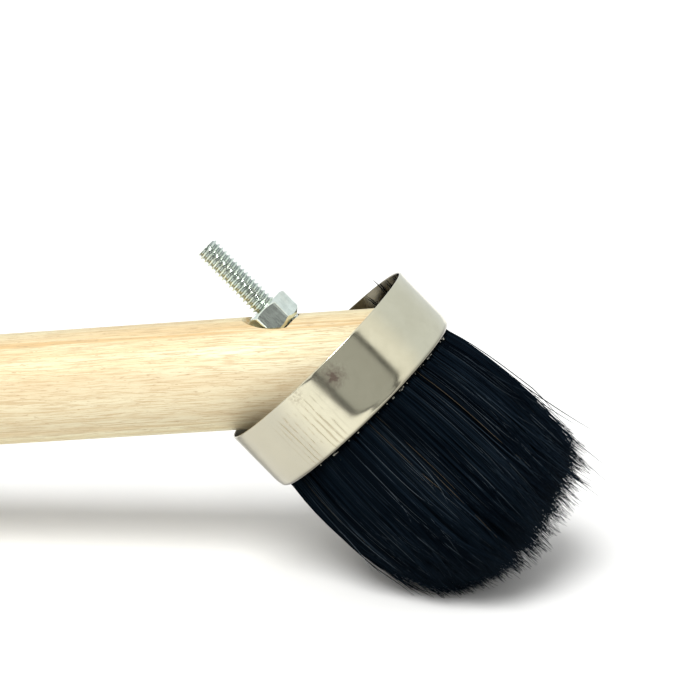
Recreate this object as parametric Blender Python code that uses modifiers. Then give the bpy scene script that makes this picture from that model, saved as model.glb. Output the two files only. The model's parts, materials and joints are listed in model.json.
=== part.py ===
"""Long-handled round tar brush: a turned wooden handle bolted at a slant into a round bristle head.

Run with blender --background --python part.py, or from Blender's text editor. Units are metres, +Z is up.
The brush lies on its bristles and on the far end of its handle. Y = 0 is its plane of symmetry and +X points
towards the head. The head and the fasteners are built about the bolt's axis: local +Z runs out of the
ferrule's open rim towards the bolt's tip, and local Z = 0 is the plane of that rim.
"""

import math

import bmesh
import bpy

MM = 0.001
GAP = 0.3 * MM  # air between pieces that touch
MERGE = 0.01 * MM  # distance at which the seam of a turned shape is welded
SHARP_ANGLE = math.radians(30)

# How the brush lies
RIM_HEIGHT = 59.1 * MM  # centre of the ferrule's open rim above the table
HEAD_DIP = math.radians(45.1)  # head axis below the horizontal
HANDLE_RISE = math.radians(5.8)  # handle axis above the horizontal, rising towards the head
HANDLE_CROSSING = -4.95 * MM  # where the handle's axis crosses the head's axis

# Ferrule: a sheet band whose lower edge is curled inward
FERRULE_RADIUS = 30.15 * MM
FERRULE_SHEET = 0.5 * MM
FERRULE_HEIGHT = 18.3 * MM
CURL_RADIUS = 1.3 * MM
CURL_LIP = 0.5 * MM
FERRULE_STEPS = 56

# Bolt, nut and washers: a quarter inch coarse thread
BOLT_OFFSET = -0.8 * MM  # the bolt stands this far off the ferrule's centre, towards the handle
THREAD_RADIUS = 3.175 * MM
THREAD_PITCH = 1.27 * MM
THREAD_DEPTH = 0.69 * MM
THREAD_SIDES = 12
ROOT_FLAT, CREST_FLAT = 1 / 4, 1 / 8  # shares of one pitch
BOLT_LENGTH = 63.5 * MM  # under its head
BOLT_TIP = 39.4 * MM
BOLT_SEAT = BOLT_TIP - BOLT_LENGTH
THREAD_START = 8.7 * MM
CHAMFERED_RADIUS = 2.385 * MM  # what the chamfers at the thread's ends leave
RUN_OUT_SLOPE = 2  # how steeply the thread grows out of its lower chamfer
SHANK_RADIUS = 3.1 * MM
RUN_OUT = 0.6 * MM
HEX_ACROSS_FLATS = 11.11 * MM
HEX_TURN = math.radians(-20.4)  # a flat faces this far round from +X
TOP_CHAMFER, TOP_FACE = math.radians(30), 0.96  # the face is a share of the width across the flats
FOOT_CHAMFER, FOOT_FACE = math.radians(42), 0.89
HEAD_HEIGHT = 4.0 * MM
NUT_HEIGHT = 7.14 * MM
NUT_BORE = 3.36 * MM
WASHER_BORE = 3.45 * MM
FLAT_WASHER_RADIUS = 8.0 * MM
FLAT_WASHER_THICKNESS = 1.4 * MM
LOCK_WASHER_RADIUS = 4.63 * MM
LOCK_WASHER_THICKNESS = 1.98 * MM
LOCK_WASHER_SPLIT = 0.8 * MM
LOCK_WASHER_SPLIT_SLANT = math.radians(25)

# Core plug and the resin that holds the bristle roots
CORE_RADIUS = 21.0 * MM
CORE_TOP = -7.6 * MM
CORE_BOTTOM = BOLT_SEAT + FLAT_WASHER_THICKNESS + 2 * GAP
CORE_CHAMFER = 1.0 * MM
RESIN_TOP = -8.6 * MM
RESIN_BOTTOM = -16.2 * MM
RESIN_DISH = 1.6 * MM

# Bristle bundle
ROOT_RADIUS = 27.9 * MM
ROOT_TOP = RESIN_BOTTOM - GAP
BUNDLE_END = -74.1 * MM  # crown of the tips
TIP_CROWN_RADIUS = 72.0 * MM
TIP_CROWN_OFFSET = -2.9 * MM
UPPER_SPLAY = 4.9 * MM  # how far the upper side spreads from the ferrule to the tips
SIDE_SPLAY = 4.8 * MM
SPLAY_LENGTH = 15.0 * MM
LOWER_SPLAY = 0.15  # slope of the lower side where it leaves the ferrule
LOWER_BEND = 6.84  # how fast the table bends it back, per metre
CORNER_SHARE = 0.1  # of the bundle's length that its rounded tip edge takes
CORNER_INSET = 0.12  # of its radius
BUNDLE_STEPS = 44
SIDE_RINGS = 9
CORNER_RINGS = 3
TIP_RINGS = 4

# Handle
HANDLE_RADIUS = 14.5 * MM
HANDLE_END_ROUND = 5.0 * MM
HANDLE_STEPS = 48
HANDLE_BLANK = 30.0 * MM  # turned past the crossing, before the slanted end is cut
BOLT_HOLE_RADIUS = 3.6 * MM
POCKET_RADIUS = 6.7 * MM
POCKET_FLOOR = 10.75 * MM
WASHER_SEAT_RADIUS = LOCK_WASHER_RADIUS + GAP  # the lock washer has sunk into the pocket's floor
WASHER_SEAT = POCKET_FLOOR - LOCK_WASHER_THICKNESS - GAP

SMALL_STEPS = 32
CUTTER_REACH = 90.0 * MM


def clear_scene():
    for old in list(bpy.data.objects):
        bpy.data.objects.remove(old, do_unlink=True)


def collection(name):
    made = bpy.data.collections.new(name)
    bpy.context.scene.collection.children.link(made)
    return made


def material(name, colour, roughness, metallic=0.0):
    made = bpy.data.materials.new(name)
    made.use_nodes = True
    shader = made.node_tree.nodes["Principled BSDF"]
    shader.inputs["Base Color"].default_value = (*colour, 1.0)
    shader.inputs["Roughness"].default_value = roughness
    shader.inputs["Metallic"].default_value = metallic
    return made


def empty(name, location, tilt, parent=None):
    """An axis to build on, turned by tilt about Y."""
    made = bpy.data.objects.new(name, None)
    made.location = location
    made.rotation_euler = (0.0, tilt, 0.0)
    made.parent = parent
    made.empty_display_size = 0.02
    parts.objects.link(made)
    return made


def place(name, mesh, parent, look=None):
    """Links a mesh as a part with its material or, without one, as a cutter."""
    made = bpy.data.objects.new(name, mesh)
    made.parent = parent
    if look is None:
        cutters.objects.link(made)
        made.hide_render = True
        made.display_type = "WIRE"
    else:
        parts.objects.link(made)
        mesh.materials.append(look)
    return made


def outline_mesh(name, outline, closed):
    """Edges through (radius, height) points, for a Screw modifier to turn about local Z."""
    mesh = bpy.data.meshes.new(name)
    edges = [(i, i + 1) for i in range(len(outline) - 1)]
    if closed:
        edges.append((len(outline) - 1, 0))
    mesh.from_pydata([(radius, 0.0, height) for radius, height in outline], edges, [])
    return mesh


def turned(name, outline, parent, look=None, steps=SMALL_STEPS, closed=True):
    """A solid of revolution. The outline runs down its outer side; an open one starts and ends on the axis."""
    made = place(name, outline_mesh(name, outline, closed), parent, look)
    screw = made.modifiers.new("Turn", "SCREW")
    screw.steps = screw.render_steps = steps
    screw.use_merge_vertices = True
    screw.merge_threshold = MERGE
    return made


def drill(name, radius, low, high, parent):
    """A round cutter between two heights."""
    return turned(name, [(0.0, high), (radius, high), (radius, low), (0.0, low)], parent, closed=False)


def combine(part, other, operation="DIFFERENCE"):
    step = part.modifiers.new(operation.title(), "BOOLEAN")
    step.operation = operation
    step.solver = "EXACT"
    step.object = other


def frozen(part):
    """A mesh copy of a part with its modifiers applied; the part is removed."""
    bpy.context.view_layer.update()
    seen = part.evaluated_get(bpy.context.evaluated_depsgraph_get())
    mesh = bpy.data.meshes.new_from_object(seen)
    bpy.data.objects.remove(part, do_unlink=True)
    return mesh


def smooth(part):
    """Shades a finished part smooth except at its hard edges."""
    if not part.data.polygons:
        part.modifiers["Turn"].use_smooth_shade = True
        return
    part.data.shade_smooth()
    part.data.set_sharp_from_angle(angle=SHARP_ANGLE)


def arc(centre_radius, centre_height, size, start, end, count):
    """Points on a round corner, from one angle to another, in degrees."""
    angles = [math.radians(start + (end - start) * i / count) for i in range(count + 1)]
    return [(centre_radius + size * math.cos(a), centre_height + size * math.sin(a)) for a in angles]


def ferrule():
    curl_centre = FERRULE_RADIUS - CURL_RADIUS
    curl_height = -FERRULE_HEIGHT + CURL_RADIUS
    inner_curl = CURL_RADIUS - FERRULE_SHEET
    lip = curl_centre - CURL_LIP
    outside = [(FERRULE_RADIUS, 0.0)] + arc(curl_centre, curl_height, CURL_RADIUS, 0, -90, 3)
    edge = [(lip, -FERRULE_HEIGHT), (lip, -FERRULE_HEIGHT + FERRULE_SHEET)]
    inside = arc(curl_centre, curl_height, inner_curl, -90, 0, 2) + [(FERRULE_RADIUS - FERRULE_SHEET, 0.0)]
    return turned("ferrule", outside + edge + inside, head_axis, steel, FERRULE_STEPS)


def core_plug():
    outline = [
        (0.0, CORE_TOP),
        (CORE_RADIUS - CORE_CHAMFER, CORE_TOP),
        (CORE_RADIUS, CORE_TOP - CORE_CHAMFER),
        (CORE_RADIUS, CORE_BOTTOM),
        (0.0, CORE_BOTTOM),
    ]
    made = turned("core_plug", outline, head_axis, plug_wood, HANDLE_STEPS, closed=False)
    combine(made, drill("plug_hole_cutter", BOLT_HOLE_RADIUS, CORE_BOTTOM - GAP, CORE_TOP + GAP, bolt_axis))
    return made


def setting_resin():
    """The ring of resin between core and ferrule, its open face dished where it crept up both walls."""
    outer = FERRULE_RADIUS - FERRULE_SHEET - GAP
    inner = CORE_RADIUS + GAP
    outline = [
        (outer, RESIN_TOP),
        (outer, RESIN_BOTTOM),
        (inner, RESIN_BOTTOM),
        (inner, RESIN_TOP - CORE_CHAMFER),
        ((inner + outer) / 2, RESIN_TOP - RESIN_DISH),
    ]
    return turned("setting_resin", outline, head_axis, resin, FERRULE_STEPS)


def splay(depth, amount):
    """Sideways spread of the bristles at a depth below the rim."""
    free = max(depth - FERRULE_HEIGHT - GAP, 0.0)
    return amount * (1.0 - math.exp(-free / SPLAY_LENGTH))


def bundle_top(depth):
    return ROOT_RADIUS + splay(depth, UPPER_SPLAY)


def bundle_bottom(depth):
    """Lower side of the bundle: it leaves the ferrule splayed, and the table bends it back."""
    free = max(depth - FERRULE_HEIGHT - GAP, 0.0)
    return -ROOT_RADIUS - LOWER_SPLAY * free + LOWER_BEND * free**2


def shape_bundle(mesh):
    """Bends a turned blank, whose radius is 1 and whose height runs from 0 to -1, into the bristle bundle."""
    root, end = -ROOT_TOP, -BUNDLE_END
    for point in mesh.vertices:
        across, angle = math.hypot(point.co.x, point.co.y), math.atan2(point.co.y, point.co.x)
        share = -point.co.z
        depth = root + share * (end - root)
        top, bottom = bundle_top(depth), bundle_bottom(depth)
        x = (top + bottom) / 2 + across * math.cos(angle) * (top - bottom) / 2
        y = across * math.sin(angle) * (ROOT_RADIUS + splay(depth, SIDE_SPLAY))
        crown = ((x - TIP_CROWN_OFFSET) ** 2 + y**2) / (2 * TIP_CROWN_RADIUS)
        point.co = (x, y, -root - share * (end - crown - root))


def bristle_bundle():
    lip = (FERRULE_HEIGHT + GAP + ROOT_TOP) / (ROOT_TOP - BUNDLE_END)
    straight = 1.0 - CORNER_SHARE
    side = [(1.0, -lip - (straight - lip) * i / SIDE_RINGS) for i in range(SIDE_RINGS + 1)]
    turn = [math.pi / 2 * i / CORNER_RINGS for i in range(1, CORNER_RINGS + 1)]
    corner = [
        (1.0 - CORNER_INSET * (1.0 - math.cos(a)), -straight - CORNER_SHARE * math.sin(a)) for a in turn
    ]
    face = [((1.0 - CORNER_INSET) * (1.0 - i / TIP_RINGS), -1.0) for i in range(1, TIP_RINGS + 1)]
    outline = [(0.0, 0.0), (1.0, 0.0)] + side + corner + face
    mesh = frozen(turned("bundle_blank", outline, head_axis, steps=BUNDLE_STEPS, closed=False))
    shape_bundle(mesh)
    bundle = place("bristle_bundle", mesh, head_axis, bristle)
    low = BOLT_SEAT - HEAD_HEIGHT - 2 * GAP
    plug_space = drill("plug_cutter", CORE_RADIUS + GAP, CORE_BOTTOM - GAP, RESIN_BOTTOM, head_axis)
    head_space = drill("bolt_head_cutter", FLAT_WASHER_RADIUS + 2 * GAP, low, CORE_BOTTOM, bolt_axis)
    for cutter in (plug_space, head_space, table_block()):
        combine(bundle, cutter)
    return bundle


def table_block():
    """Everything below the table, which flattens the bristles that rest on it."""
    mesh = bpy.data.meshes.new("table_cutter")
    shape = bmesh.new()
    bmesh.ops.create_cube(shape, size=4 * CUTTER_REACH)
    bmesh.ops.translate(shape, verts=shape.verts, vec=(0.0, 0.0, -2 * CUTTER_REACH))
    shape.to_mesh(mesh)
    shape.free()
    return place("table_cutter", mesh, base)


def thread_row(turns, angle):
    """(radius, height) of the thread's four edges in one pitch, on the side at an angle."""
    flank = (1.0 - ROOT_FLAT - CREST_FLAT) / 2
    root = THREAD_RADIUS - THREAD_DEPTH
    shape = [(root, 0.0), (root, ROOT_FLAT), (THREAD_RADIUS, ROOT_FLAT + flank), (THREAD_RADIUS, 1.0 - flank)]
    for radius, share in shape:
        height = THREAD_START + THREAD_PITCH * (turns + share + angle / (2 * math.pi))
        height = min(max(height, THREAD_START), BOLT_TIP)
        room = min(BOLT_TIP - height, RUN_OUT_SLOPE * (height - THREAD_START))
        yield min(radius, CHAMFERED_RADIUS + room), height


def threaded_shank(name, foot):
    """The bolt without its head: a plain shank from a height, a run-out and a right-hand thread to the tip."""
    pitches = math.ceil((BOLT_TIP - THREAD_START) / THREAD_PITCH)
    shape = bmesh.new()
    columns = []
    for side in range(THREAD_SIDES + 1):
        angle = 2 * math.pi * side / THREAD_SIDES
        rows = [(0.0, foot), (SHANK_RADIUS, foot), (SHANK_RADIUS, THREAD_START - RUN_OUT)]
        for turns in range(-1, pitches + 1):
            rows += thread_row(turns, angle)
        rows.append((0.0, BOLT_TIP))
        columns.append([shape.verts.new((r * math.cos(angle), r * math.sin(angle), h)) for r, h in rows])
    for left, right in zip(columns, columns[1:]):
        for i in range(len(left) - 1):
            shape.faces.new((left[i], right[i], right[i + 1], left[i + 1]))
    bmesh.ops.remove_doubles(shape, verts=shape.verts, dist=0.1 * MERGE)
    bmesh.ops.dissolve_degenerate(shape, edges=shape.edges, dist=0.1 * MERGE)
    mesh = bpy.data.meshes.new(name)
    shape.to_mesh(mesh)
    shape.free()
    return mesh


def hex_prism(name, low, high, look=None):
    """A hexagon between two heights whose corners are chamfered at the top and at the foot."""
    corner = HEX_ACROSS_FLATS / math.sqrt(3)
    mesh = bpy.data.meshes.new(name)
    shape = bmesh.new()
    bmesh.ops.create_cone(
        shape, cap_ends=True, segments=6, radius1=corner, radius2=corner, depth=high - low
    )
    bmesh.ops.translate(shape, verts=shape.verts, vec=(0.0, 0.0, (low + high) / 2))
    shape.to_mesh(mesh)
    shape.free()
    prism = place(name, mesh, bolt_axis, look)
    prism.rotation_euler.z = HEX_TURN
    wide = corner + GAP
    top, foot = TOP_FACE * HEX_ACROSS_FLATS / 2, FOOT_FACE * HEX_ACROSS_FLATS / 2
    barrel = [
        (0.0, high),
        (top, high),
        (wide, high - (wide - top) * math.tan(TOP_CHAMFER)),
        (wide, low + (wide - foot) * math.tan(FOOT_CHAMFER)),
        (foot, low),
        (0.0, low),
    ]
    combine(prism, turned(name + "_chamfer", barrel, bolt_axis, closed=False), "INTERSECT")
    return prism


def bolt():
    """The hexagon-head bolt that comes up through the core plug and the handle."""
    made = place("bolt", threaded_shank("bolt", BOLT_SEAT - HEAD_HEIGHT / 2), bolt_axis, zinc)
    head = hex_prism("bolt_head_form", BOLT_SEAT - HEAD_HEIGHT, BOLT_SEAT)
    combine(made, head, "UNION")
    return made


def washer(name, low, thickness, radius):
    high = low + thickness
    outline = [(radius, high), (radius, low), (WASHER_BORE, low), (WASHER_BORE, high)]
    return turned(name, outline, bolt_axis, zinc)


def bolt_washer():
    low = BOLT_SEAT + GAP
    return washer("bolt_washer", low, FLAT_WASHER_THICKNESS, FLAT_WASHER_RADIUS)


def lock_washer():
    """A narrow spring washer, pressed flat by the nut, with its slanted split towards the head's low side."""
    low = WASHER_SEAT + GAP
    made = washer("lock_washer", low, LOCK_WASHER_THICKNESS, LOCK_WASHER_RADIUS)
    mesh = bpy.data.meshes.new("split_cutter")
    shape = bmesh.new()
    bmesh.ops.create_cube(shape, size=1.0)
    size = (2 * LOCK_WASHER_RADIUS, LOCK_WASHER_SPLIT, 4 * LOCK_WASHER_THICKNESS)
    bmesh.ops.scale(shape, verts=shape.verts, vec=size)
    shape.to_mesh(mesh)
    shape.free()
    split = place("split_cutter", mesh, bolt_axis)
    split.location = (-LOCK_WASHER_RADIUS, 0.0, low + LOCK_WASHER_THICKNESS / 2)
    split.rotation_euler.x = LOCK_WASHER_SPLIT_SLANT
    combine(made, split)
    return made


def hex_nut():
    low = POCKET_FLOOR + GAP
    nut = hex_prism("hex_nut", low, low + NUT_HEIGHT, zinc)
    combine(nut, drill("nut_bore_cutter", NUT_BORE, low - GAP, low + NUT_HEIGHT + GAP, bolt_axis))
    return nut


def handle_length():
    """From the crossing to the far end, so that the rounded far end just meets the table."""
    crossing_height = RIM_HEIGHT + HANDLE_CROSSING * math.sin(HEAD_DIP)
    drop = crossing_height - HANDLE_END_ROUND
    drop -= (HANDLE_RADIUS - HANDLE_END_ROUND) * math.cos(HANDLE_RISE)
    return HANDLE_END_ROUND + drop / math.sin(HANDLE_RISE)


def handle():
    """The turned handle: local Z runs from the crossing towards the far end."""
    end = handle_length()
    outline = [(0.0, end)]
    outline += arc(HANDLE_RADIUS - HANDLE_END_ROUND, end - HANDLE_END_ROUND, HANDLE_END_ROUND, 90, 0, 6)
    outline += [(HANDLE_RADIUS, -HANDLE_BLANK), (0.0, -HANDLE_BLANK)]
    made = turned("handle", outline, handle_axis, wood, HANDLE_STEPS, closed=False)
    combine(made, drill("end_cutter", CUTTER_REACH, -CUTTER_REACH, CORE_TOP + GAP, head_axis))
    combine(made, counterbore())
    return made


def counterbore():
    """The bolt's hole through the handle, and above it the seats of the lock washer and of the nut."""
    outline = [
        (0.0, CUTTER_REACH),
        (POCKET_RADIUS, CUTTER_REACH),
        (POCKET_RADIUS, POCKET_FLOOR),
        (WASHER_SEAT_RADIUS, POCKET_FLOOR),
        (WASHER_SEAT_RADIUS, WASHER_SEAT),
        (BOLT_HOLE_RADIUS, WASHER_SEAT),
        (BOLT_HOLE_RADIUS, CORE_TOP - GAP),
        (0.0, CORE_TOP - GAP),
    ]
    return turned("counterbore_cutter", outline, bolt_axis, closed=False)


def centre_on_origin(made):
    """Slides the whole brush along X until its bounding box is centred on the origin."""
    bpy.context.view_layer.update()
    seen = bpy.context.evaluated_depsgraph_get()
    places = []
    for part in made:
        solid = part.evaluated_get(seen)
        places += [(solid.matrix_world @ point.co).x for point in solid.data.vertices]
    base.location.x -= (min(places) + max(places)) / 2


clear_scene()
parts = collection("tar_brush")
cutters = collection("cutters")

wood = material("birch", (0.72, 0.56, 0.36), 0.55)
plug_wood = material("plug_wood", (0.50, 0.36, 0.22), 0.65)
steel = material("stainless_steel", (0.62, 0.60, 0.56), 0.28, 1.0)
zinc = material("zinc_plate", (0.62, 0.65, 0.64), 0.35, 1.0)
resin = material("resin", (0.34, 0.25, 0.15), 0.40)
bristle = material("black_bristle", (0.012, 0.014, 0.020), 0.50)

base = empty("brush_origin", (0.0, 0.0, 0.0), 0.0)
head_axis = empty("head_axis", (0.0, 0.0, RIM_HEIGHT), HEAD_DIP - math.pi / 2, base)
bolt_axis = empty("bolt_axis", (BOLT_OFFSET, 0.0, 0.0), 0.0, head_axis)
crossing = (
    -HANDLE_CROSSING * math.cos(HEAD_DIP),
    0.0,
    RIM_HEIGHT + HANDLE_CROSSING * math.sin(HEAD_DIP),
)
handle_axis = empty("handle_axis", crossing, -HANDLE_RISE - math.pi / 2, base)

finished = [
    handle(),
    ferrule(),
    core_plug(),
    setting_resin(),
    bristle_bundle(),
    bolt(),
    bolt_washer(),
    lock_washer(),
    hex_nut(),
]
for piece in finished:
    smooth(piece)
centre_on_origin(finished)
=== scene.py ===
"""Looks of a long-handled round tar brush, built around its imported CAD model.

Everything is in metres. Each piece is made in a frame of its own and then moved into the model's frame.
In the head frame local +Z runs out of the ferrule's open rim, local +X points up across the head and Z = 0
is the rim's plane. The bolt frame is the same but lies on the bolt's axis. In the handle frame local +Z runs
from the handle's slanted end to its far end, and +X points up.
"""

import json
import math

import bmesh
import bpy
import numpy as np
from mathutils import Matrix, Vector, noise


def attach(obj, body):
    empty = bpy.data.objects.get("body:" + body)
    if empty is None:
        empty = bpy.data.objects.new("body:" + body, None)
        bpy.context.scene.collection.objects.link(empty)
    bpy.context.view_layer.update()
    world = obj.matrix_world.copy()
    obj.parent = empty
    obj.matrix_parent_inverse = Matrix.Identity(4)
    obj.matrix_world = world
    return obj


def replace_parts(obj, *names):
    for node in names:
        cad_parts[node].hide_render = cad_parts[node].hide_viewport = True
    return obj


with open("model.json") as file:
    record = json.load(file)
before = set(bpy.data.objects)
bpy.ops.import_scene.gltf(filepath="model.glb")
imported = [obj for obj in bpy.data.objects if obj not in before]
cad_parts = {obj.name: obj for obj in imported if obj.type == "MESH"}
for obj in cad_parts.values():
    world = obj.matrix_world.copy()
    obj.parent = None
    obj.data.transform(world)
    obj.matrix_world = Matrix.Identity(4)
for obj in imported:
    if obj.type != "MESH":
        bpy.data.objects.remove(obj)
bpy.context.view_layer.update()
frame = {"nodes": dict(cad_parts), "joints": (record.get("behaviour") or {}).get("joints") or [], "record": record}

MM = 0.001
GAP = 0.3 * MM  # the CAD's air between pieces that touch
WELD = 0.001 * MM
SHARP_ANGLE = math.radians(32)
GOLDEN_ANGLE = math.pi * (3 - math.sqrt(5))

joints = {joint["name"]: joint for joint in frame["joints"]}
mounts = {mount["name"]: mount for mount in frame["record"]["mounts"]}


# Sizes shared with the CAD model

FERRULE_RADIUS = 30.15 * MM
FERRULE_SHEET = 0.5 * MM
FERRULE_HEIGHT = 18.3 * MM
CURL_RADIUS = 1.3 * MM
CURL_LIP = 0.5 * MM

BOLT_OFFSET = -0.8 * MM
THREAD_RADIUS = 3.175 * MM
THREAD_PITCH = 1.27 * MM
THREAD_DEPTH = 0.69 * MM
THREAD_START = 8.7 * MM
SHANK_RADIUS = 3.1 * MM
BOLT_TIP = 39.4 * MM
THREAD_CREST = 0.625  # where in a pitch the crest's middle is
THREAD_FOOT = 0.375  # half the thread's width at its root, in pitches
THREAD_FLANK = 0.29  # width of one slanted side, in pitches
BOLT_END_RADIUS = 2.75 * MM
BOLT_SEAT = -24.1 * MM
HEX_ACROSS_FLATS = 11.11 * MM
HEX_TURN = math.radians(-20.4)  # a flat faces this far round from +X
TOP_CHAMFER, TOP_FACE = math.radians(30), 0.96
FOOT_CHAMFER, FOOT_FACE = math.radians(42), 0.89
HEX_CORNER = 0.975  # what wear leaves of the distance to a corner
HEX_SOFT = 0.18 * MM
HEAD_HEIGHT = 4.0 * MM
NUT_HEIGHT = 7.14 * MM
LOCK_WASHER_BORE = 3.45 * MM
LOCK_WASHER_RADIUS = 4.63 * MM
LOCK_WASHER_THICKNESS = 1.98 * MM
LOCK_WASHER_SPLIT = 0.8 * MM
LOCK_WASHER_SLANT = math.radians(25)

CORE_RADIUS = 21.0 * MM
CORE_TOP = -7.6 * MM
RESIN_TOP = -8.6 * MM
RESIN_BOTTOM = -16.2 * MM
RESIN_DISH = 1.6 * MM
RESIN_INNER_DROP = 1.0 * MM
RESIN_LUMP = 0.9 * MM

ROOT_RADIUS = 27.9 * MM
BUNDLE_END = 74.1 * MM  # depth of the tips' crown below the rim
TIP_CROWN_RADIUS = 72.0 * MM
TIP_CROWN_OFFSET = -2.9 * MM
UPPER_SPLAY = 4.9 * MM
SIDE_SPLAY = 4.8 * MM
SPLAY_LENGTH = 15.0 * MM
LOWER_SPLAY = 0.15
LOWER_BEND = 6.84
CORNER_SHARE = 0.1
CORNER_INSET = 0.12

HANDLE_RADIUS = 14.5 * MM
HANDLE_END_ROUND = 5.0 * MM
HANDLE_BLANK = 30.0 * MM
HANDLE_CROSSING = -4.95 * MM
BOLT_HOLE_RADIUS = 3.6 * MM
POCKET_RADIUS = 6.7 * MM
POCKET_FLOOR = 10.75 * MM
WASHER_SEAT_RADIUS = LOCK_WASHER_RADIUS + GAP
WASHER_SEAT = POCKET_FLOOR - LOCK_WASHER_THICKNESS - GAP
CUTTER_REACH = 90.0 * MM


# Frames


def frame_along(axis, origin):
    """A frame at a point whose local Z is an axis in the plane Y = 0, and whose local Y is the world's."""
    across = Vector((axis.z, 0.0, -axis.x))
    turn = Matrix((across, Vector((0.0, 1.0, 0.0)), axis)).transposed().to_4x4()
    return Matrix.Translation(origin) @ turn


AXIS = Vector(joints["head_swivel"]["axis"]).normalized()
BOLT = frame_along(AXIS, Vector(joints["head_swivel"]["pos_m"]))
RIM_CENTRE = BOLT @ Vector((-BOLT_OFFSET, 0.0, 0.0))
HEAD = frame_along(AXIS, RIM_CENTRE)
HANDLE_END = Vector(mounts["handle_end"]["pos_m"])
HANDLE_START = RIM_CENTRE + HANDLE_CROSSING * AXIS
HANDLE = frame_along((HANDLE_END - HANDLE_START).normalized(), HANDLE_START)
HANDLE_LENGTH = (HANDLE_END - HANDLE_START).length


# Camera

CAMERA_AZIMUTH = math.radians(7.12)
CAMERA_ELEVATION = math.radians(15)
CAMERA_DISTANCE = 0.5698
CAMERA_TARGET = Vector((8.76 * MM, 0.0, 1.41 * MM))  # from the rim's centre
CAMERA_LENS = 114.2


def add_camera():
    """A camera low at the brush's side that frames the head and the handle's near end."""
    level = math.cos(CAMERA_ELEVATION)
    across, away = math.sin(CAMERA_AZIMUTH), -math.cos(CAMERA_AZIMUTH)
    back = Vector((across * level, away * level, math.sin(CAMERA_ELEVATION)))
    camera = bpy.data.objects.new("camera", bpy.data.cameras.new("camera"))
    camera.data.lens = CAMERA_LENS
    camera.data.sensor_width = 36.0
    camera.data.clip_start = 0.01
    camera.location = RIM_CENTRE + CAMERA_TARGET + back * CAMERA_DISTANCE
    camera.rotation_mode = "QUATERNION"
    camera.rotation_quaternion = (-back).to_track_quat("-Z", "Y")
    bpy.context.scene.collection.objects.link(camera)
    bpy.context.scene.camera = camera


# Node helpers


class Nodes:
    """Short ways to add and join the nodes of one material or world."""

    def __init__(self, owner):
        owner.use_nodes = True
        self.owner = owner
        self.tree = owner.node_tree

    def add(self, kind, inputs=None, **settings):
        """Adds a node; inputs maps socket names or numbers to values or to other nodes' outputs."""
        node = self.tree.nodes.new("ShaderNode" + kind)
        for key, value in settings.items():
            setattr(node, key, value)
        for key, value in (inputs or {}).items():
            self.put(node.inputs[key], value)
        return node

    def put(self, socket, value):
        if isinstance(value, bpy.types.NodeSocket):
            self.tree.links.new(value, socket)
        else:
            socket.default_value = value

    def set(self, **values):
        """Sets the Principled shader's sockets; a word's underscores stand for spaces."""
        shader = self.tree.nodes["Principled BSDF"]
        for key, value in values.items():
            self.put(shader.inputs[key.replace("_", " ")], value)

    def space(self, place):
        """Positions in one of the frames above."""
        inputs = {
            "Vector": self.add("TexCoord").outputs["Object"],
            "Location": place.translation,
            "Rotation": place.to_euler(),
        }
        return self.add("Mapping", inputs, vector_type="TEXTURE").outputs[0]

    def scaled(self, vector, x, y, z):
        return self.add("Mapping", {"Vector": vector, "Scale": (x, y, z)}).outputs[0]

    def noise(self, vector, scale, detail, roughness):
        inputs = {"Vector": vector, "Scale": scale, "Detail": detail, "Roughness": roughness}
        return self.add("TexNoise", inputs).outputs["Fac"]

    def math(self, operation, a, b=0.0):
        return self.add("Math", {0: a, 1: b}, operation=operation).outputs[0]

    def from_axis(self, parts):
        """Distance from local Z of a position given by its separate parts."""
        x, y = parts["X"], parts["Y"]
        return self.math("SQRT", self.math("ADD", self.product(x, x), self.product(y, y)))

    def dot(self, a, b):
        return self.add("VectorMath", {0: a, 1: b}, operation="DOT_PRODUCT").outputs[1]

    def distance(self, a, b):
        return self.add("VectorMath", {0: a, 1: b}, operation="DISTANCE").outputs[1]

    def span(self, value, low, high, to_low=0.0, to_high=1.0):
        """Maps a range of values smoothly to another."""
        inputs = {"Value": value, "From Min": low, "From Max": high, "To Min": to_low, "To Max": to_high}
        return self.add("MapRange", inputs, interpolation_type="SMOOTHSTEP").outputs[0]

    def window(self, value, low, high, soft):
        """1 between two values, falling softly to 0 outside them."""
        rise = self.span(value, low - soft, low)
        fall = self.span(value, high, high + soft, 1.0, 0.0)
        return self.math("MULTIPLY", rise, fall)

    def product(self, *values):
        total = values[0]
        for value in values[1:]:
            total = self.math("MULTIPLY", total, value)
        return total

    def mix(self, share, a, b):
        """Mixes two colours; 0 gives the first."""
        node = self.add("Mix", data_type="RGBA")
        self.put(node.inputs[0], share)
        self.put(node.inputs[6], colour(a))
        self.put(node.inputs[7], colour(b))
        return node.outputs[2]

    def bump(self, height, strength, distance):
        inputs = {"Height": height, "Strength": strength, "Distance": distance}
        self.set(Normal=self.add("Bump", inputs).outputs[0])


def colour(value):
    """A colour of three numbers gets its alpha; a socket stays as it is."""
    if isinstance(value, bpy.types.NodeSocket):
        return value
    return (*value, 1.0)


def new_material(name):
    return Nodes(bpy.data.materials.new(name))


# Materials

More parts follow.
